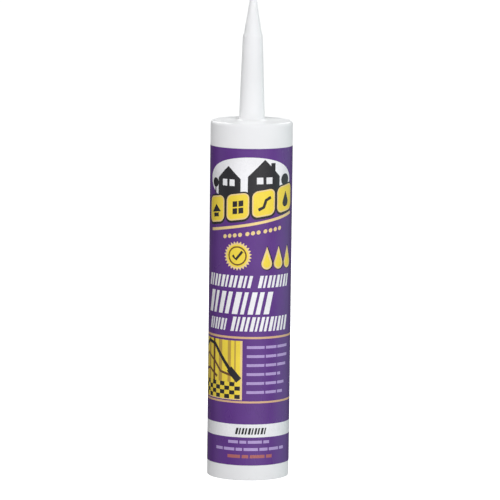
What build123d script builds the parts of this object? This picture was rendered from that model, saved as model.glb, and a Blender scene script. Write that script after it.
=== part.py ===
from build123d import *

import math
import os

# A caulk cartridge for a hand caulking gun: a moulded barrel whose shoulder and closed nozzle are part
# of the same moulding, a wrap-round film label, a foil seal welded under the nozzle's mouth, the caulk
# itself, and a plunger that the gun's push plate drives up the bore.
# Millimetres. The cartridge stands on its open rear rim at z = 0, with the nozzle along +Z.
# The label's seam is at the back, +Y.

# Cartridge body: the barrel
BARREL_RADIUS = 25.0
BARREL_WALL = 1.6
BARREL_LENGTH = 218.0  # rear rim to the shoulder's front face
SHOULDER_THICK = 2.0
SHOULDER_ROUND = 2.1  # outside edge of the shoulder
CORNER_ROUND = 1.5  # inside, between the bore and the shoulder
RIM_ROUND = 0.5  # outside edge of the rear rim
LEAD_IN = 0.8  # height of the chamfer inside the rear rim, twice its width
MOUTH_RELIEF = 0.15  # the bore's mouth is this much wider all round, to start the plunger
MOUTH_TAPER = 2.0  # length over which the mouth narrows to the bore
MOUTH_MARGIN = 1.0  # the taper ends this far behind the plunger

# Cartridge body: the nozzle, from the shoulder's front face
NOZZLE_LENGTH = 75.0
NOZZLE_BASE_RADIUS = 7.9
NOZZLE_ROOT_ROUND = 2.0
NECK_HEIGHT = 51.0  # top of the long slow taper
NECK_RADIUS = 6.05
NECK_STEP = 2.2  # length of the short steep cone above the neck
TIP_CONE_RADIUS = 5.3  # where the tip's cone starts
TIP_RADIUS = 1.8
TIP_ROUND = 0.9
NOZZLE_WALL = 1.2
TIP_WALL = 0.8
TIP_END_WALL = 1.5  # closes the tip until it is cut
NECK_ROUND = 1.0  # eases both ends of the short cone

# Land under the nozzle's mouth, and the foil welded to it
LAND_RADIUS = 11.0
LAND_HEIGHT = 0.6
SEAL_MARGIN = 0.8  # the foil stops this far inside the land's edge
SEAL_THICK = 0.12

# Wrap-round label
LABEL_THICK = 0.1
LABEL_REAR_MARGIN = 9.4  # bare barrel behind it
LABEL_FRONT_MARGIN = 15.0  # bare barrel in front of it
LABEL_LAP = 6.0  # overlap at the seam
LABEL_RAMP = 1.5  # length over which the film climbs onto its own edge

# Plunger
PUSH_RECESS = 25.0  # rear rim to the plunger's rear edge
PLUNGER_LENGTH = 17.0
PLUNGER_GAP = 0.4  # between its skirt and the bore
LIP_CLEARANCE = 0.05  # between its two sealing lips and the bore
LIP_WIDTH = 0.9
LIP_RAMP = 0.6  # length of the slope on each side of a lip
LIP_SETBACK = 3.4  # front face to the front lip
REAR_LIP_SETBACK = 1.0  # rear edge to the rear lip
FACE_CHAMFER = 2.4  # clears the bore's inside corner
FACE_THICK = 1.6
FACE_RECESS_MARGIN = 0.6  # the face's recess clears the land by this much all round
FACE_RECESS_PLAY = 0.3  # and is deeper than the land and foil by this much
SKIRT_WALL = 1.4
RIB_COUNT = 8
RIB_THICK = 1.2
RIB_SETBACK = 2.5  # the ribs stop this far inside the rear edge
HUB_RADIUS = 5.0
HUB_WALL = 1.3

# Places that several pieces share
BORE_RADIUS = BARREL_RADIUS - BARREL_WALL
MOUTH_RADIUS = BORE_RADIUS + MOUTH_RELIEF
UNDERSIDE = BARREL_LENGTH - SHOULDER_THICK  # the shoulder's inner face
LAND_FACE = UNDERSIDE - LAND_HEIGHT
SEAL_FACE = LAND_FACE - SEAL_THICK
SEAL_RADIUS = LAND_RADIUS - SEAL_MARGIN
MOUTH_END = PUSH_RECESS - MOUTH_MARGIN
PLUNGER_RADIUS = BORE_RADIUS - PLUNGER_GAP
LIP_RADIUS = BORE_RADIUS - LIP_CLEARANCE
PLUNGER_FACE = PUSH_RECESS + PLUNGER_LENGTH
FACE_RECESS = LAND_HEIGHT + SEAL_THICK + FACE_RECESS_PLAY
FACE_RECESS_RADIUS = LAND_RADIUS + FACE_RECESS_MARGIN
LIP_FRONT = PLUNGER_FACE - LIP_SETBACK


def turned(outline):
    """A solid turned about Z. The outline goes round once, as (radius, height, rounding) corners."""
    corners = [(radius, 0, height) for radius, height, _ in outline]
    roundings = [rounding for _, _, rounding in outline]
    return revolve(make_face(FilletPolyline(*corners, radius=roundings, close=True)), Axis.Z)


def on_circle(radius, degrees):
    return radius * math.cos(math.radians(degrees)), radius * math.sin(math.radians(degrees))


def cartridge_body():
    """Barrel, shoulder and closed nozzle, one moulding."""
    neck = BARREL_LENGTH + NECK_HEIGHT
    cone = neck + NECK_STEP
    tip = BARREL_LENGTH + NOZZLE_LENGTH
    outside = [
        (BARREL_RADIUS, 0, RIM_ROUND),
        (BARREL_RADIUS, BARREL_LENGTH, SHOULDER_ROUND),
        (NOZZLE_BASE_RADIUS, BARREL_LENGTH, NOZZLE_ROOT_ROUND),
        (NECK_RADIUS, neck, NECK_ROUND),
        (TIP_CONE_RADIUS, cone, NECK_ROUND),
        (TIP_RADIUS, tip, TIP_ROUND),
        (0, tip, 0),
    ]
    inside = [
        (0, tip - TIP_END_WALL, 0),
        (TIP_RADIUS - TIP_WALL, tip - TIP_END_WALL, 0),
        (TIP_CONE_RADIUS - NOZZLE_WALL, cone, 0),
        (NECK_RADIUS - NOZZLE_WALL, neck, 0),
        (NOZZLE_BASE_RADIUS - NOZZLE_WALL, LAND_FACE, 0),
        (LAND_RADIUS, LAND_FACE, 0),
        (LAND_RADIUS, UNDERSIDE, 0),
        (BORE_RADIUS, UNDERSIDE, CORNER_ROUND),
        (BORE_RADIUS, MOUTH_END, 0),
        (MOUTH_RADIUS, MOUTH_END - MOUTH_TAPER, 0),
        (MOUTH_RADIUS, LEAD_IN, 0),
        (MOUTH_RADIUS + LEAD_IN / 2, 0, 0),
    ]
    return turned(outside + inside)


def wrap_label():
    """Printed film once round the barrel, lapped over its own edge at the back."""
    film = BARREL_RADIUS + LABEL_THICK
    flap = film + LABEL_THICK
    flap_angle = math.degrees(LABEL_LAP / film)
    ramp_angle = math.degrees(LABEL_RAMP / film)
    flap_start = 90 - flap_angle / 2
    flap_end = 90 + flap_angle / 2
    once_round = CenterArc((0, 0), film, flap_end, 360 - flap_angle - ramp_angle)
    ramp = Line(on_circle(film, flap_start - ramp_angle), on_circle(flap, flap_start))
    overlap = CenterArc((0, 0), flap, flap_start, flap_angle)
    cut_edge = Line(on_circle(flap, flap_end), on_circle(film, flap_end))
    section = make_face([once_round, ramp, overlap, cut_edge]) - Circle(BARREL_RADIUS)
    height = BARREL_LENGTH - LABEL_REAR_MARGIN - LABEL_FRONT_MARGIN
    return Pos(0, 0, LABEL_REAR_MARGIN) * extrude(section, height)


def inner_seal():
    """Foil disc that closes the nozzle's mouth."""
    return Pos(0, 0, SEAL_FACE) * extrude(Circle(SEAL_RADIUS), SEAL_THICK)


def plunger_front():
    """The plunger's front from its axis to its front lip, which the caulk lies against."""
    return [
        (0, PLUNGER_FACE - FACE_RECESS, 0),
        (FACE_RECESS_RADIUS, PLUNGER_FACE - FACE_RECESS, 0),
        (FACE_RECESS_RADIUS, PLUNGER_FACE, 0),
        (PLUNGER_RADIUS - FACE_CHAMFER, PLUNGER_FACE, 0),
        (PLUNGER_RADIUS, PLUNGER_FACE - FACE_CHAMFER, 0),
        (PLUNGER_RADIUS, LIP_FRONT, 0),
    ]


def caulk():
    """Everything between the plunger and the shoulder."""
    front = [
        (BORE_RADIUS, LIP_FRONT, 0),
        (BORE_RADIUS, UNDERSIDE, CORNER_ROUND),
        (LAND_RADIUS, UNDERSIDE, 0),
        (LAND_RADIUS, LAND_FACE, 0),
        (SEAL_RADIUS, LAND_FACE, 0),
        (SEAL_RADIUS, SEAL_FACE, 0),
        (0, SEAL_FACE, 0),
    ]
    return turned(plunger_front() + front)


def lip(front):
    """One sealing lip down the plunger's side, from the height of its front."""
    return [
        (LIP_RADIUS, front - LIP_RAMP, 0),
        (LIP_RADIUS, front - LIP_RAMP - LIP_WIDTH, 0),
        (PLUNGER_RADIUS, front - 2 * LIP_RAMP - LIP_WIDTH, 0),
    ]


def plunger():
    """Moulded cup that opens to the rear, with two sealing lips, a hub and radial ribs."""
    cup_floor = PLUNGER_FACE - FACE_RECESS - FACE_THICK
    rear_lip_front = PUSH_RECESS + REAR_LIP_SETBACK + 2 * LIP_RAMP + LIP_WIDTH
    skirt = [
        (PLUNGER_RADIUS, rear_lip_front, 0),
        *lip(rear_lip_front),
        (PLUNGER_RADIUS, PUSH_RECESS, 0),
        (PLUNGER_RADIUS - SKIRT_WALL, PUSH_RECESS, 0),
        (PLUNGER_RADIUS - SKIRT_WALL, cup_floor, 0),
        (0, cup_floor, 0),
    ]
    cup = turned(plunger_front() + lip(LIP_FRONT) + skirt)
    rib_rear = PUSH_RECESS + RIB_SETBACK
    rib_depth = cup_floor - rib_rear
    hub = extrude(Circle(HUB_RADIUS) - Circle(HUB_RADIUS - HUB_WALL), rib_depth)
    rib_reach = PLUNGER_RADIUS - SKIRT_WALL / 2
    rib_start = HUB_RADIUS - HUB_WALL / 2
    rib = Pos((rib_start + rib_reach) / 2, 0) * Rectangle(rib_reach - rib_start, RIB_THICK)
    ribs = [extrude(Rot(0, 0, n * 360 / RIB_COUNT) * rib, rib_depth) for n in range(RIB_COUNT)]
    return cup + [Pos(0, 0, rib_rear) * piece for piece in [hub, *ribs]]


PIECES = {
    "cartridge_body": cartridge_body,
    "wrap_label": wrap_label,
    "inner_seal": inner_seal,
    "caulk": caulk,
    "plunger": plunger,
}

os.makedirs("parts", exist_ok=True)
for name, build in PIECES.items():
    export_step(build(), f"parts/{name}.step")
print("plunger travel", round(UNDERSIDE - PLUNGER_FACE, 3), "less the end gap")
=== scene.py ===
"""Looks of the caulk cartridge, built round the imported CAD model.

The moulded body, the foil and the caulk are turned again on the CAD model's own outlines, only
finer. The label is a sheet of film that goes once round the barrel and laps over its own edge, with
its print cut into the sheet as coloured shapes. The plunger is the CAD model's own mesh.
Metres, in the CAD model's frame: +Z is up the barrel, -Y is the label's front.
"""

import math

import bpy
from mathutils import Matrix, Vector
from mathutils.geometry import delaunay_2d_cdt


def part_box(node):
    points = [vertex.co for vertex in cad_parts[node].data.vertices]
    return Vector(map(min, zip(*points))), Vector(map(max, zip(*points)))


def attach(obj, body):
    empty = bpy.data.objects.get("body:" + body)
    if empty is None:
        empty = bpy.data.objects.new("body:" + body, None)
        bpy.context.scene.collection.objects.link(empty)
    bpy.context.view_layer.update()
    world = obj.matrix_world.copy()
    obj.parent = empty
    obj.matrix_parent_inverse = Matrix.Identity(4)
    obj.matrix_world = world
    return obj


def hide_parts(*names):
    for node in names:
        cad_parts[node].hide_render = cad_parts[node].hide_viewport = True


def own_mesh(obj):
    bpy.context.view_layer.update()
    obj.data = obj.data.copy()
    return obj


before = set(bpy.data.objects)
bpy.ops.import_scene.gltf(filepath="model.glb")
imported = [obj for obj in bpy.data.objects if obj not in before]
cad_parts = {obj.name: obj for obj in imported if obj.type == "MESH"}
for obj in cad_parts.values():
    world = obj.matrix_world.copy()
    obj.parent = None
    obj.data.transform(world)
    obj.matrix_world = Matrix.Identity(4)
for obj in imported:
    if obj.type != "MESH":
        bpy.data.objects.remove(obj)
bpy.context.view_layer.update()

MM = 0.001

# ---------------------------------------------------------------- turned pieces

SEGMENTS = 192
RING_TOLERANCE = 0.01 * MM  # vertices this close in radius and height belong to one ring
SHARP_ANGLE = math.radians(28)  # a sharper corner than this keeps its edge


def outline_of(node):
    """A turned CAD node's outline, as (radius, height) points from the axis round to the axis."""
    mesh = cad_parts[node].data
    rings = []
    ring_of = []
    for vertex in mesh.vertices:
        place = (math.hypot(vertex.co.x, vertex.co.y), vertex.co.z)
        near = (n for n, ring in enumerate(rings) if math.dist(ring, place) < RING_TOLERANCE)
        number = next(near, len(rings))
        if number == len(rings):
            rings.append(place)
        ring_of.append(number)
    beside = [set() for _ in rings]
    for edge in mesh.edges:
        first, second = (ring_of[vertex] for vertex in edge.vertices)
        if first != second:
            beside[first].add(second)
            beside[second].add(first)
    walk = [next(n for n, neighbours in enumerate(beside) if len(neighbours) == 1)]
    while len(walk) < len(rings):
        here = rings[walk[-1]]
        walk.append(min(beside[walk[-1]] - set(walk), key=lambda n: math.dist(rings[n], here)))
    points = [rings[n] for n in walk]
    return [(0, points[0][1]), *points, (0, points[-1][1])]


def anticlockwise(outline):
    """A closed outline's points in the order that has its inside on the left."""
    pairs = zip(outline, outline[1:] + outline[:1])
    area = sum(r0 * z1 - r1 * z0 for (r0, z0), (r1, z1) in pairs)
    return outline if area > 0 else outline[::-1]


def run_normals(outline):
    """For each straight run of the outline, its normal at its start and at its end."""
    runs = [Vector((z1 - z0, r0 - r1)) for (r0, z0), (r1, z1) in zip(outline, outline[1:])]
    normals = [[run.normalized(), run.normalized()] for run in runs]
    for n in range(len(runs) - 1):
        if runs[n].angle(runs[n + 1]) < SHARP_ANGLE:
            shared = (runs[n] + runs[n + 1]).normalized()
            normals[n][1] = shared
            normals[n + 1][0] = shared
    return normals


def turned(name, node):
    """The CAD node's outline turned about Z in many more steps, with clean smooth normals."""
    outline = anticlockwise(outline_of(node))
    angles = [2 * math.pi * n / SEGMENTS for n in range(SEGMENTS)]
    spokes = [Vector((math.cos(angle), math.sin(angle), 0)) for angle in angles]
    vertices = []
    first = []
    for radius, height in outline:
        first.append(len(vertices))
        if radius == 0:
            vertices.append(Vector((0, 0, height)))
        else:
            vertices += [radius * spoke + Vector((0, 0, height)) for spoke in spokes]
    faces = []
    corner_normals = []
    for n, (low, high) in enumerate(run_normals(outline)):
        for step in range(SEGMENTS):
            after = (step + 1) % SEGMENTS
            corners = [(n, step, low), (n, after, low), (n + 1, after, high), (n + 1, step, high)]
            if outline[n][0] == 0:
                corners = corners[1:]
            if outline[n + 1][0] == 0:
                corners = corners[:3]
            faces.append([first[ring] + (turn if outline[ring][0] else 0) for ring, turn, _ in corners])
            for _, turn, (outward, upward) in corners:
                corner_normals.append(outward * spokes[turn] + Vector((0, 0, upward)))
    mesh = bpy.data.meshes.new(name)
    mesh.from_pydata(vertices, [], faces)
    mesh.shade_smooth()
    mesh.normals_split_custom_set(corner_normals)
    return placed(name, mesh)


def placed(name, mesh):
    """An object in the scene that shows the mesh."""
    thing = bpy.data.objects.new(name, mesh)
    bpy.context.scene.collection.objects.link(thing)
    return thing


# ---------------------------------------------------------------- the label's print
# A place on the flat label is (across, up) in millimetres: across is 0 at the front and grows to
# the right round the barrel, up is the height above the barrel's rear rim.

FIELD = "purple"
FILM = "film"
INKS = {
    "purple": (0.115, 0.030, 0.242),
    "white": (0.92, 0.91, 0.93),
    "cream": (0.92, 0.68, 0.30),
    "yellow": (0.96, 0.73, 0.06),
    "sand": (0.74, 0.46, 0.26),
    "tan": (0.56, 0.36, 0.06),
    "brown": (0.16, 0.07, 0.02),
    "black": (0.018, 0.016, 0.020),
    "lilac": (0.47, 0.34, 0.66),
    "rust": (0.44, 0.13, 0.13),
    "film": (0.80, 0.80, 0.81),
}
RISE = 0.145  # slope of the row of tiles
LEAN = 0.22  # how far a heading's strokes lean for their height
UPPER_RULE = (87.2, 88.5)
LOWER_RULE = (47.7, 48.9)
WHITE_BAND = (26.7, 34.7)
SMALL_PRINT = 1.7  # height of a line of it
HOUSE_FOOT = 170.0  # below the tiles' upper edge, so that the tiles hide it
WINDOW_HEIGHT = 4.0
WINDOW_TOP_GAP = 0.4  # from a window to the eaves
DISC_STEPS = 45
CORNER_STEPS = 6
DROP_STEPS = 28


def block(left, right, low, high, lean=0.0):
    """A bar or rectangle, whose top may lean to the right."""
    shift = lean * (high - low)
    return [(left, low), (right, low), (right + shift, high), (left + shift, high)]


def arc(across, up, radius, start, end, steps):
    """Places along a circle, from one angle to another in degrees."""
    angles = [math.radians(start + (end - start) * n / steps) for n in range(steps + 1)]
    return [(across + radius * math.cos(a), up + radius * math.sin(a)) for a in angles]


def disc(across, up, radius):
    last = 360 - 360 / DISC_STEPS
    return arc(across, up, radius, 0, last, DISC_STEPS - 1)


def rounded(left, right, low, high, radius):
    """A rectangle with round corners."""
    corners = (
        (right - radius, high - radius, 0),
        (left + radius, high - radius, 90),
        (left + radius, low + radius, 180),
        (right - radius, low + radius, 270),
    )
    places = []
    for x, y, start in corners:
        places += arc(x, y, radius, start, start + 90, CORNER_STEPS)
    return places


def stretched(points, across, share):
    """The shape with its width multiplied by the share, to both sides of a place across."""
    return [(across + (x - across) * share, y) for x, y in points]


def line(points, width):
    """A line of even width through the points."""
    points = [Vector(point) for point in points]
    left = []
    right = []
    for n, point in enumerate(points):
        along = points[min(n + 1, len(points) - 1)] - points[max(n - 1, 0)]
        aside = Vector((-along.y, along.x)).normalized() * width / 2
        left.append(tuple(point + aside))
        right.append(tuple(point - aside))
    return right + left[::-1]


def rising(points):
    """The same shape on the slope of the row of tiles."""
    return [(across, up + RISE * across) for across, up in points]


def drop(across, low, width, height):
    """A drop with its point at the top."""
    radius = width / 2
    centre = low + radius
    leave = math.degrees(math.asin(radius / (height - radius)))
    return [(across, low + height), *arc(across, centre, radius, 180 - leave, 360 + leave, DROP_STEPS)]


def house(left, right, eaves, ridge, window):
    """A plain house front with two windows, level with its eaves."""
    middle = (left + right) / 2
    foot = HOUSE_FOOT
    yield "black", [(left, foot), (right, foot), (right, eaves), (middle, ridge), (left, eaves)]
    low = eaves - WINDOW_HEIGHT - WINDOW_TOP_GAP
    for centre in (middle - window * 0.75, middle + window * 0.75):
        yield "white", block(centre - window / 2, centre + window / 2, low, eaves - WINDOW_TOP_GAP)


def tree(across, up, radius):
    """A round tree with a straight trunk."""
    yield "black", disc(across, up, radius)
    yield "black", block(across - radius / 5, across + radius / 5, HOUSE_FOOT, up)


def houses():
    """Two house fronts, a chimney and two trees in black on a white oval."""
    across, up, half_height, wider = -0.5, 183.6, 14.2, 2.1
    yield "white", stretched(disc(across, up, half_height), across, wider)
    yield from tree(-25.4, 181.4, 2.9)
    yield from tree(24.0, 183.6, 3.7)
    yield from house(-22.6, -6.4, 184.5, 192.2, 3.4)
    yield "black", block(12.6, 15.6, 186, 194.2)
    yield from house(-2.0, 19.0, 186.0, 196.4, 4.0)


def tile_signs():
    """A roof, a window, a bead and a drop, one on each tile."""
    yield "black", [(-28.8, 167.0), (-20.2, 167.0), (-24.5, 171.8)]
    yield "black", block(-27.0, -22.0, 164.0, 166.4)
    for left in (-11.4, -7.6):
        for low in (164.6, 168.9):
            yield "black", block(left, left + 3.0, low, low + 3.5)
    yield "black", line([(4.6, 165.2), (8.0, 166.4), (9.4, 170.4), (12.6, 171.8)], 2.0)
    yield "black", drop(24.5, 163.6, 5.6, 9.6)


def tiles():
    """A rising row of four yellow tiles, which covers the oval's lower edge."""
    low, high, corner = 160.8, 176.8, 3.6
    layers = (("black", 0.9, 0.5), ("cream", 0.0, 0.0), ("yellow", -0.8, 0.0))
    for left, right in ((-31.5, -17.4), (-15.6, -1.0), (0.8, 15.4), (17.2, 31.6)):
        for ink, grow, fall in layers:
            shape = rounded(left - grow, right + grow, low - grow - fall, high + grow, corner + grow)
            yield ink, rising(shape)
    for ink, shape in tile_signs():
        yield ink, rising(shape)


def slogan():
    """The cream line under the tiles, and three short rows of dots below it."""
    sweep = [(s, 157.1 + 0.178 * s + 0.0005 * s * s) for s in range(-29, 33, 2)]
    yield "cream", line(sweep, 1.7)
    up, radius, pitch = 151.6, 1.25, 3.4
    for start, count in ((-16.6, 4), (-1.9, 3), (9.2, 4)):
        for n in range(count):
            yield "cream", rising(disc(start + pitch * n, up, radius))


def seal():
    """A yellow seal with a toothed cream edge and a tick."""
    across, up = -8.0, 137.8
    teeth, tooth_tip, tooth_root = 26, 9.0, 7.5
    edge = []
    for n in range(2 * teeth):
        angle = math.pi * n / teeth
        reach = tooth_tip if n % 2 else tooth_root
        edge.append((across + reach * math.cos(angle), up + reach * math.sin(angle)))
    yield "cream", edge
    yield "yellow", disc(across, up, 6.9)
    yield "brown", disc(across, up, 5.9)
    yield "yellow", disc(across, up, 5.0)
    tick = [(across - 3.0, up + 0.3), (across - 0.9, up - 2.2), (across + 3.2, up + 2.8)]
    yield "black", line(tick, 1.6)


def drops():
    """Three drops in a row, outlined."""
    for across in (10.4, 18.8, 27.2):
        yield "black", drop(across + 0.3, 129.0, 8.2, 15.2)
        yield "cream", drop(across, 129.6, 7.0, 13.8)
        yield "yellow", drop(across, 130.6, 4.8, 9.6)


def strokes(ink, left, right, low, high, weight):
    """Plain leaning strokes in place of a bold heading's letters."""
    widths = (1.25, 0.8, 1.1, 0.95)
    gaps = (0.58, 0.78)
    n = 0
    while left + widths[n % len(widths)] * weight < right:
        width = widths[n % len(widths)] * weight
        yield ink, block(left, left + width, low, high, LEAN)
        left += width + gaps[n % len(gaps)] * weight
        n += 1


def headings():
    """Five runs of white strokes, as (left, right, low, high, weight)."""
    for run in (
        (-31.5, 0.5, 118.4, 125.8, 1.75),
        (4.8, 29.5, 118.4, 125.8, 1.75),
        (-31.0, 13.2, 102.2, 115.8, 2.9),
        (-30.0, -15.5, 92.0, 99.2, 1.5),
        (-12.0, 27.0, 91.8, 100.6, 1.75),
    ):
        yield from strokes("white", *run)


def words(ink, left, right, middle, height, lengths=(7.2, 4.4, 8.6, 5.6)):
    """A line of plain bars in place of small print."""
    gap = 0.5 * height
    n = 0
    while left < right - height:
        end = min(left + lengths[n % len(lengths)], right)
        yield ink, block(left, end, middle - height / 2, middle + height / 2)
        left = end + gap
        n += 1


def panel():
    """A yellow panel edged in cream: upright boards, rods across them and a chequered floor."""
    left, right, low, high = -40.2, -5.4, 50.2, 85.9
    floor_top = 60.4
    yield "cream", block(left - 1.4, right + 1.3, low - 0.6, high)
    yield "yellow", block(left, right, low, high)
    for across, width, ink in (
        (-38.6, 3.4, "tan"),
        (-31.8, 2.6, "tan"),
        (-26.0, 2.0, "brown"),
        (-20.6, 2.8, "tan"),
        (-13.6, 2.2, "tan"),
        (-9.2, 1.0, "tan"),
    ):
        yield ink, block(across, across + width, floor_top, high)
    bent = [(-40.0, 71.0), (-32.0, 76.5), (-24.0, 72.0), (-19.0, 66.5), (-11.0, 64.5)]
    yield "brown", line(bent, 1.5)
    yield "brown", line([(-40.0, 65.0), (-30.0, 67.5), (-22.0, 63.0)], 1.6)
    yield "black", line([(-40.0, 78.0), (-31.0, 84.2), (-24.0, 82.8), (-11.5, 67.2)], 2.2)
    yield "black", line([(-12.6, 68.6), (-6.2, 61.6)], 4.2)
    yield from chequers(left, right, low, floor_top)


def chequers(left, right, low, high):
    """Every other square of a chequered floor, in black."""
    columns, rows = 10, 4
    wide = (right - left) / columns
    tall = (high - low) / rows
    for row in range(rows):
        for column in range(columns):
            if (row + column) % 2:
                start = left + column * wide
                yield "black", block(start, start + wide, low + row * tall, low + (row + 1) * tall)


def fact_lines():
    """The lines of small print beside the panel."""
    first, pitch = 82.0, 5.52
    ends = (29.0, 28.5, 27.0, 21.5, 25.0, 23.5)
    for n, end in enumerate(ends):
        yield from words("lilac", -1.4, end, first - pitch * n, SMALL_PRINT, (11.0, 7.6, 9.4))


def lower_lines():
    """A dark mark on the white band, and the small print under it."""
    yield from strokes("black", -8.2, 10.6, 28.5, 32.5, 1.15)
    yield from words("lilac", -12.6, 13.4, 23.8, 1.8, (6.4, 4.2, 8.8))
    yield from words("lilac", -22.0, 26.0, 19.3, 1.8, (5.4, 7.2, 4.0, 8.8))
    yield from words("rust", -13.0, 15.4, 14.9, 2.0, (8.2, 4.0, 9.2))


def side_columns():
    """A column of small print each side of the lap, clear of the upper rule, and a box of it."""
    first, pitch, clear = 150.0, 5.2, 2
    for left, lines in ((40.5, 15), (-71.5, 18)):
        for n in range(lines):
            up = first - pitch * n
            if UPPER_RULE[0] - clear < up < UPPER_RULE[1] + clear:
                continue
            if n % 6 == 0:
                yield from words("white", left, left + 17.0, up, 2.6)
            else:
                right = left + 31.0 - 2.6 * (3 * n % 5)
                yield from words("lilac", left, right, up, SMALL_PRINT)
    yield "white", rounded(41.0, 71.0, 54.0, 68.0, 1.5)
    for n in range(4):
        yield from words("purple", 43.0, 69.0 - 3.5 * (n % 2), 65.0 - 2.9 * n, 1.3)


def bands(half):
    """The two rules and the white band, which go right round the barrel."""
    for low, high in (UPPER_RULE, LOWER_RULE):
        yield "sand", block(-half, half, low, high)
    yield "white", block(-half, half, *WHITE_BAND)


def artwork(half):
    """The whole print, as (ink, outline) in the order that it is laid down."""
    yield from bands(half)
    upper = (houses, tiles, slogan, seal, drops, headings)
    lower = (panel, fact_lines, lower_lines, side_columns)
    for element in upper + lower:
        yield from element()


# ---------------------------------------------------------------- the label's film

STRIP = 1.5  # degrees of the barrel that each flat strip of the film spans
LAP = 6.0 * MM  # how far the film laps over its own edge
RAMP = 1.5 * MM  # length over which it climbs onto that edge
CUT_MARGIN = 0.9  # millimetres of bare film along the outer end of the lap
AIR = 0.005 * MM  # between the film and what it lies on
CDT_EPSILON = 1e-5  # millimetres; print corners this close become one

barrel_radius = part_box("cartridge_body")[1].x
label_low, label_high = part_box("wrap_label")
film_radius = label_high.x
film_thick = film_radius - barrel_radius

lap_start = math.pi - LAP / film_radius / 2
lap_end = math.pi + LAP / film_radius / 2
ramp_start = lap_start - RAMP / film_radius


def smooth_step(low, high, value):
    """0 below low, 1 above high, and a smooth climb between them."""
    share = min(max((value - low) / (high - low), 0), 1)
    return share * share * (3 - 2 * share)


def film_face(angle):
    """Radius of the film's outer face: it climbs by its own thickness at the lap."""
    return film_radius + film_thick * smooth_step(ramp_start, lap_start, angle)


def around(angle, radius, height):
    """A place round the barrel. Angle 0 is the front, and it grows to the right."""
    return Vector((radius * math.sin(angle), -radius * math.cos(angle), height))


def film_normal(angle):
    """The outer face's direction, which tips back where the film climbs."""
    step = 1e-4
    climb = (film_face(angle + step) - film_face(angle - step)) / (2 * step)
    outward = around(angle, film_face(angle), 0)
    along = Vector((math.cos(angle), math.sin(angle), 0))
    return (outward - climb * along).normalized()


def strip_edges():
    """Angles of the film's flat strips, with finer ones where it climbs."""
    edges = []
    for start, end, width in (
        (-lap_end, ramp_start, math.radians(STRIP)),
        (ramp_start, lap_start, math.radians(STRIP) / 4),
        (lap_start, lap_end, math.radians(STRIP)),
    ):
        count = math.ceil((end - start) / width)
        edges += [start + (end - start) * n / count for n in range(count)]
    return [*edges, lap_end]


def printed_sheet():
    """The flat sheet in triangles that follow the print: places, triangles, and each one's ink.

    Where shapes overlap, the one laid down last gives the ink.
    """
    to_sheet = film_radius / MM
    low, high = label_low.z / MM, label_high.z / MM
    edges = [angle * to_sheet for angle in strip_edges()]
    shapes = [(FIELD, block(left, right, low, high)) for left, right in zip(edges, edges[1:])]
    shapes += artwork(edges[-1])
    shapes.append((FILM, block(edges[-1] - CUT_MARGIN, edges[-1], low, high)))
    corners = []
    outlines = []
    for _, shape in shapes:
        outlines.append(list(range(len(corners), len(corners) + len(shape))))
        corners += [Vector(corner) for corner in anticlockwise(shape)]
    cut = delaunay_2d_cdt(corners, [], outlines, 1, CDT_EPSILON)
    places, triangles, owners = cut[0], cut[2], cut[5]
    return places, triangles, [shapes[max(owner)][0] for owner in owners]


def border(triangles):
    """The edges that only one triangle has, each in that triangle's direction."""
    edges = {}
    for triangle in triangles:
        for a, b in zip(triangle, triangle[1:] + triangle[:1]):
            both_ways = frozenset((a, b))
            edges[both_ways] = None if both_ways in edges else (a, b)
    return [edge for edge in edges.values() if edge]


def label_film():
    """The printed film as a thin closed sheet, bent round the barrel."""
    places, triangles, inks = printed_sheet()
    angles = [place.x * MM / film_radius for place in places]
    outer = [around(a, film_face(a), p.y * MM) for a, p in zip(angles, places)]
    inner = [around(a, film_face(a) - film_thick + AIR, p.y * MM) for a, p in zip(angles, places)]
    count = len(places)
    faces = [list(triangle) for triangle in triangles]
    normals = [film_normal(angles[corner]) for triangle in triangles for corner in triangle]
    faces += [[corner + count for corner in reversed(triangle)] for triangle in triangles]
    normals += [-film_normal(angles[c]) for triangle in triangles for c in reversed(triangle)]
    inks += [FILM] * len(triangles)
    for a, b in border(triangles):
        faces.append([b, a, a + count, b + count])
        normals += [Vector()] * 4  # a zero normal keeps the face's own
        inks.append(FILM)
    mesh = bpy.data.meshes.new("label")
    mesh.from_pydata(outer + inner, [], faces)
    paint(mesh, inks)
    mesh.shade_smooth()
    mesh.normals_split_custom_set(normals)
    return placed("label_film", mesh)


def paint(mesh, inks):
    """Gives each face's corners its ink, for the film's material to read."""
    ink = mesh.color_attributes.new("ink", "FLOAT_COLOR", "CORNER")
    for polygon, name in zip(mesh.polygons, inks):
        for corner in polygon.loop_indices:
            ink.data[corner].color = (*INKS[name], 1)


# ---------------------------------------------------------------- materials


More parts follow.
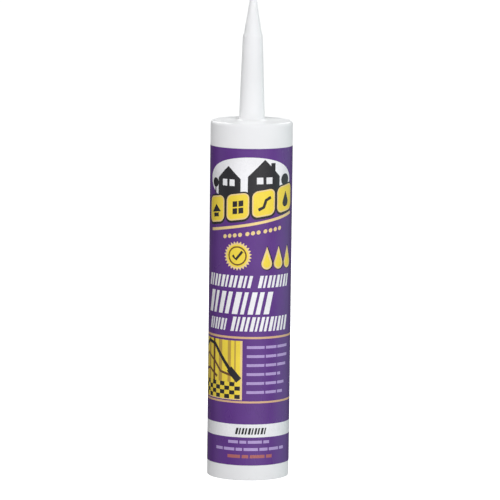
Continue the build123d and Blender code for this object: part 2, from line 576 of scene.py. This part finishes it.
class Finish:
    """A procedural material: a Principled shader and the few nodes that vary it."""

    def __init__(self, name, colour, roughness, **settings):
        self.material = bpy.data.materials.new(name)
        self.material.use_nodes = True
        self.tree = self.material.node_tree
        self.shader = self.tree.nodes["Principled BSDF"]
        self.shader.inputs["Base Color"].default_value = (*colour, 1)
        self.shader.inputs["Roughness"].default_value = roughness
        for socket, value in settings.items():
            self.shader.inputs[socket.replace("_", " ")].default_value = value
        self.colour = (*colour, 1)
        self.place = self.node("ShaderNodeTexCoord").outputs["Object"]

    def node(self, kind, **settings):
        made = self.tree.nodes.new(kind)
        for name, value in settings.items():
            setattr(made, name, value)
        return made

    def put(self, value, socket):
        """Feeds a socket from another node's output, or sets it."""
        if isinstance(value, bpy.types.NodeSocket):
            self.tree.links.new(value, socket)
        else:
            socket.default_value = value

    def noise(self, size, stretch=(1, 1, 1), detail=2.0):
        """Noise from 0 to 1 whose blotches are about this large, in metres."""
        mapping = self.node("ShaderNodeMapping")
        mapping.inputs["Scale"].default_value = stretch
        self.put(self.place, mapping.inputs["Vector"])
        texture = self.node("ShaderNodeTexNoise")
        self.put(mapping.outputs["Vector"], texture.inputs["Vector"])
        texture.inputs["Scale"].default_value = 1 / size
        texture.inputs["Detail"].default_value = detail
        return texture.outputs["Fac"]

    def ranged(self, value, low, high, start=0.3, end=0.7):
        """The value's range from start to end, spread from low to high."""
        spread = self.node("ShaderNodeMapRange", interpolation_type="SMOOTHSTEP")
        self.put(value, spread.inputs["Value"])
        for name, number in zip(("From Min", "From Max", "To Min", "To Max"), (start, end, low, high)):
            spread.inputs[name].default_value = number
        return spread.outputs["Result"]

    def tint(self, colour, value):
        """The colour made darker or lighter by the value."""
        mix = self.node("ShaderNodeMix", data_type="RGBA", blend_type="MULTIPLY")
        mix.inputs["Factor"].default_value = 1
        self.put(colour, mix.inputs[6])
        self.put(value, mix.inputs[7])
        return mix.outputs[2]

    def blended(self, first, second, share):
        """The first colour, with this share of the second in it."""
        mix = self.node("ShaderNodeMix", data_type="RGBA")
        self.put(share, mix.inputs["Factor"])
        self.put(first, mix.inputs[6])
        self.put(second, mix.inputs[7])
        return mix.outputs[2]

    def times(self, first, second):
        product = self.node("ShaderNodeMath", operation="MULTIPLY")
        self.put(first, product.inputs[0])
        self.put(second, product.inputs[1])
        return product.outputs[0]

    def height(self):
        """Height above the rear rim, in metres."""
        split = self.node("ShaderNodeSeparateXYZ")
        self.put(self.place, split.inputs["Vector"])
        return split.outputs["Z"]

    def colour_from(self, value):
        self.put(value, self.shader.inputs["Base Color"])

    def roughness_from(self, value):
        self.put(value, self.shader.inputs["Roughness"])

    def bumps(self, *layers):
        """Surface relief in layers of (height from 0 to 1, depth in metres)."""
        below = None
        for value, depth in layers:
            bump = self.node("ShaderNodeBump")
            bump.inputs["Distance"].default_value = depth
            self.put(value, bump.inputs["Height"])
            if below:
                self.put(below, bump.inputs["Normal"])
            below = bump.outputs["Normal"]
        self.put(below, self.shader.inputs["Normal"])


def body_plastic():
    """White moulded polyethylene: satin, with drawn streaks, soft waviness and a scuffed rear rim.

    The rough diffuse part shades it as flatly as the photo's plastic is shaded.
    """
    finish = Finish(
        "white_polyethylene",
        (0.90, 0.90, 0.905),
        0.40,
        Diffuse_Roughness=1.0,
        Subsurface_Weight=0.2,
        Subsurface_Radius=(1.0, 1.0, 1.0),
        Subsurface_Scale=0.003,
        Sheen_Weight=0.3,
        Sheen_Roughness=0.5,
    )
    cloudy = finish.ranged(finish.noise(0.022, detail=3), 0.975, 1.0)
    streaks = finish.noise(0.0035, (1, 1, 0.04))
    specks = finish.ranged(finish.noise(0.0016, detail=4), 0, 1, 0.62, 0.72)
    near_rim = finish.ranged(finish.height(), 1, 0, 0.0002, 0.004)
    scuffs = finish.times(specks, near_rim)
    clean = finish.tint(finish.colour, cloudy)
    finish.colour_from(finish.blended(clean, (0.70, 0.69, 0.67, 1), finish.times(scuffs, 0.5)))
    finish.roughness_from(finish.ranged(streaks, 0.34, 0.46))
    finish.bumps(
        (finish.noise(0.03, (1, 1, 0.5)), 0.00018),
        (streaks, 0.00001),
        (scuffs, 0.00002),
    )
    return finish.material


def printed_film():
    """Glossy film whose ink comes from the sheet's print, slightly uneven, over a wavy barrel."""
    finish = Finish("printed_film", INKS[FIELD], 0.24, IOR=1.5)
    print_colour = finish.node("ShaderNodeAttribute", attribute_name="ink").outputs["Color"]
    uneven = finish.ranged(finish.noise(0.012, detail=3), 0.95, 1.03)
    grain = finish.ranged(finish.noise(0.0006, detail=1), 0.97, 1.02)
    finish.colour_from(finish.tint(print_colour, finish.times(uneven, grain)))
    handled = finish.noise(0.015, (1, 1, 0.4), detail=4)
    finish.roughness_from(finish.ranged(handled, 0.2, 0.3))
    finish.bumps(
        (finish.noise(0.028, (1, 1, 0.35)), 0.00012),
        (finish.noise(0.0016), 0.000006),
    )
    return finish.material


def seal_foil():
    """Bright rolled aluminium foil with fine rolling lines and a faint crinkle."""
    finish = Finish("rolled_foil", (0.83, 0.83, 0.85), 0.25, Metallic=1.0)
    rolling = finish.noise(0.0006, (1, 0.03, 1))
    finish.colour_from(finish.tint(finish.colour, finish.ranged(rolling, 0.93, 1.0)))
    finish.roughness_from(finish.ranged(rolling, 0.2, 0.34))
    finish.bumps((finish.noise(0.004, detail=3), 0.00003), (rolling, 0.000003))
    return finish.material


def caulk_paste():
    """White acrylic paste, soft and slightly lumpy."""
    finish = Finish(
        "caulk_paste",
        (0.92, 0.92, 0.89),
        0.45,
        Subsurface_Weight=0.3,
        Subsurface_Radius=(1.0, 0.95, 0.85),
        Subsurface_Scale=0.002,
    )
    lumps = finish.noise(0.006, detail=4)
    finish.colour_from(finish.tint(finish.colour, finish.ranged(lumps, 0.96, 1.0)))
    finish.roughness_from(finish.ranged(lumps, 0.38, 0.52))
    finish.bumps((lumps, 0.00015))
    return finish.material


def plunger_plastic():
    """Natural milky polyethylene, with a fine moulded grain."""
    finish = Finish(
        "milky_polyethylene",
        (0.84, 0.86, 0.85),
        0.5,
        Subsurface_Weight=0.3,
        Subsurface_Radius=(1.0, 1.0, 1.0),
        Subsurface_Scale=0.002,
    )
    cloudy = finish.noise(0.008, detail=3)
    grain = finish.noise(0.0005, detail=2)
    finish.colour_from(finish.tint(finish.colour, finish.ranged(cloudy, 0.95, 1.0)))
    finish.roughness_from(finish.ranged(grain, 0.42, 0.58))
    finish.bumps((cloudy, 0.0001), (grain, 0.000012))
    return finish.material


# ---------------------------------------------------------------- floor, light and camera

AIM = Vector((-0.0002, 0, 0.1383))
CAMERA_DISTANCE = 2.6
CAMERA_ELEVATION = math.radians(7.6)
CAMERA_ROLL = math.radians(0.68)
LENS = 307
SIGHT = 100  # metres; the camera sees nothing farther off
FLOOR_REACH = 4.0
FLOOR_GLOW = 0.87  # keeps the floor as white as the background
# The studio's bright parts: towards where, the cosine where the glow starts, and its colour
GLOWS = [
    ((0, -1, 0), 0.3, (0.69, 0.69, 0.71)),
    ((0.8, -0.6, 0), 0.3, (0.45, 0.47, 0.48)),
    ((-1, -0.15, 0), 0.78, (0.38, 0.39, 0.39)),
    ((1, 0.25, 0), 0.72, (0.34, 0.48, 0.46)),
    ((-0.7, 0.7, 0.1), 0.3, (0.12, 0.12, 0.12)),
    ((0.7, 0.7, 0.1), 0.3, (0.14, 0.16, 0.16)),
    ((0, 0, -1), 0.2, (0.18, 0.18, 0.18)),
]
# Softboxes: name, azimuth and elevation in degrees, distance and size in metres, watts
SOFTBOXES = [
    ("key", 20, 30, 0.95, 0.55, 2.4),
    ("fill", -28, 22, 1.2, 0.6, 3.6),
    ("top", 0, 84, 0.8, 0.6, 0.8),
    ("back_left", 212, 40, 1.2, 0.5, 4.4),
    ("back_right", 150, 40, 1.2, 0.5, 4.0),
]


def floor():
    """A plain pale floor, seen from above only, so that views from below show the rear end."""
    mesh = bpy.data.meshes.new("floor")
    reach = FLOOR_REACH
    corners = [(-reach, -reach, 0), (reach, -reach, 0), (reach, reach, 0), (-reach, reach, 0)]
    mesh.from_pydata(corners, [], [(0, 1, 2, 3)])
    finish = Finish("pale_floor", (0.9, 0.9, 0.9), 0.8)
    mottle = finish.ranged(finish.noise(0.3), 0.985, 1.0)
    finish.colour_from(finish.tint(finish.colour, mottle))
    finish.shader.inputs["Emission Color"].default_value = (1, 1, 1, 1)
    finish.shader.inputs["Emission Strength"].default_value = FLOOR_GLOW
    underside = finish.node("ShaderNodeNewGeometry").outputs["Backfacing"]
    clear = finish.node("ShaderNodeBsdfTransparent").outputs["BSDF"]
    mix = finish.node("ShaderNodeMixShader")
    finish.put(underside, mix.inputs["Fac"])
    finish.put(finish.shader.outputs["BSDF"], mix.inputs[1])
    finish.put(clear, mix.inputs[2])
    finish.put(mix.outputs["Shader"], finish.tree.nodes["Material Output"].inputs["Surface"])
    mesh.materials.append(finish.material)
    made = placed("floor", mesh)
    # It neither lights the object nor shows in its gloss: the glow from below stands in for it
    made.visible_diffuse = False
    made.visible_glossy = False


def glows(nodes, links):
    """The studio's light in each direction: the sum of its bright parts."""
    direction = nodes.new("ShaderNodeTexCoord").outputs["Generated"]
    light = None
    for towards, start, colour in GLOWS:
        dot = nodes.new("ShaderNodeVectorMath")
        dot.operation = "DOT_PRODUCT"
        links.new(direction, dot.inputs[0])
        dot.inputs[1].default_value = Vector(towards).normalized()
        spread = nodes.new("ShaderNodeMapRange")
        spread.interpolation_type = "SMOOTHSTEP"
        links.new(dot.outputs["Value"], spread.inputs["Value"])
        spread.inputs["From Min"].default_value = start
        glow = nodes.new("ShaderNodeVectorMath")
        glow.operation = "MULTIPLY_ADD"
        links.new(spread.outputs["Result"], glow.inputs[0])
        glow.inputs[1].default_value = colour
        if light:
            links.new(light, glow.inputs[2])
        light = glow.outputs["Vector"]
    return light


def surroundings():
    """A plain white world to the camera; what lights the object is a studio with soft bright parts."""
    world = bpy.data.worlds.new("studio")
    world.use_nodes = True
    bpy.context.scene.world = world
    nodes, links = world.node_tree.nodes, world.node_tree.links
    nodes.clear()
    studio = nodes.new("ShaderNodeBackground")
    links.new(glows(nodes, links), studio.inputs["Color"])
    white = nodes.new("ShaderNodeBackground")
    white.inputs["Color"].default_value = (1, 1, 1, 1)
    seen = nodes.new("ShaderNodeLightPath").outputs["Is Camera Ray"]
    mix = nodes.new("ShaderNodeMixShader")
    links.new(seen, mix.inputs["Fac"])
    links.new(studio.outputs["Background"], mix.inputs[1])
    links.new(white.outputs["Background"], mix.inputs[2])
    output = nodes.new("ShaderNodeOutputWorld")
    links.new(mix.outputs["Shader"], output.inputs["Surface"])


def bearing(azimuth, elevation):
    """The direction, in radians, from the cartridge. Azimuth 0 is in front, a quarter turn is right."""
    level = math.cos(elevation)
    return Vector((math.sin(azimuth) * level, -math.cos(azimuth) * level, math.sin(elevation)))


def softbox(name, azimuth, elevation, distance, size, power):
    """A square area light that faces the cartridge, with its place in degrees and metres."""
    light = bpy.data.lights.new(name, "AREA")
    light.shape = "SQUARE"
    light.size = size
    light.energy = power
    back = bearing(math.radians(azimuth), math.radians(elevation))
    made = bpy.data.objects.new(name, light)
    bpy.context.scene.collection.objects.link(made)
    made.location = AIM + distance * back
    made.rotation_euler = (-back).to_track_quat("-Z", "Y").to_euler()
    made.visible_camera = False


def camera():
    """The photo's view: nearly level, from far off, and tipped a little to one side."""
    data = bpy.data.cameras.new("camera")
    data.lens = LENS
    made = bpy.data.objects.new("camera", data)
    bpy.context.scene.collection.objects.link(made)
    made.location = AIM + CAMERA_DISTANCE * bearing(0, CAMERA_ELEVATION)
    made.rotation_euler = (math.pi / 2 - CAMERA_ELEVATION, 0, 0)
    made.rotation_euler.rotate_axis("Z", CAMERA_ROLL)
    data.clip_end = SIGHT
    bpy.context.scene.camera = made


# ---------------------------------------------------------------- the cartridge


def stand_in(piece, node, material):
    """The piece stands for the CAD node and rides with the cartridge."""
    piece.data.materials.append(material)
    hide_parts(node)
    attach(piece, "cartridge")


moulding = turned("body_moulding", "cartridge_body")
stand_in(moulding, "cartridge_body", body_plastic())
stand_in(turned("foil_seal", "inner_seal"), "inner_seal", seal_foil())
stand_in(label_film(), "wrap_label", printed_film())

paste = turned("caulk_paste", "caulk")
stand_in(paste, "caulk", caulk_paste())
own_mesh(paste)

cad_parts["plunger"].material_slots[0].material = plunger_plastic()

floor()
surroundings()
for box_settings in SOFTBOXES:
    softbox(*box_settings)
camera()
bpy.context.scene.view_settings.view_transform = "Standard"
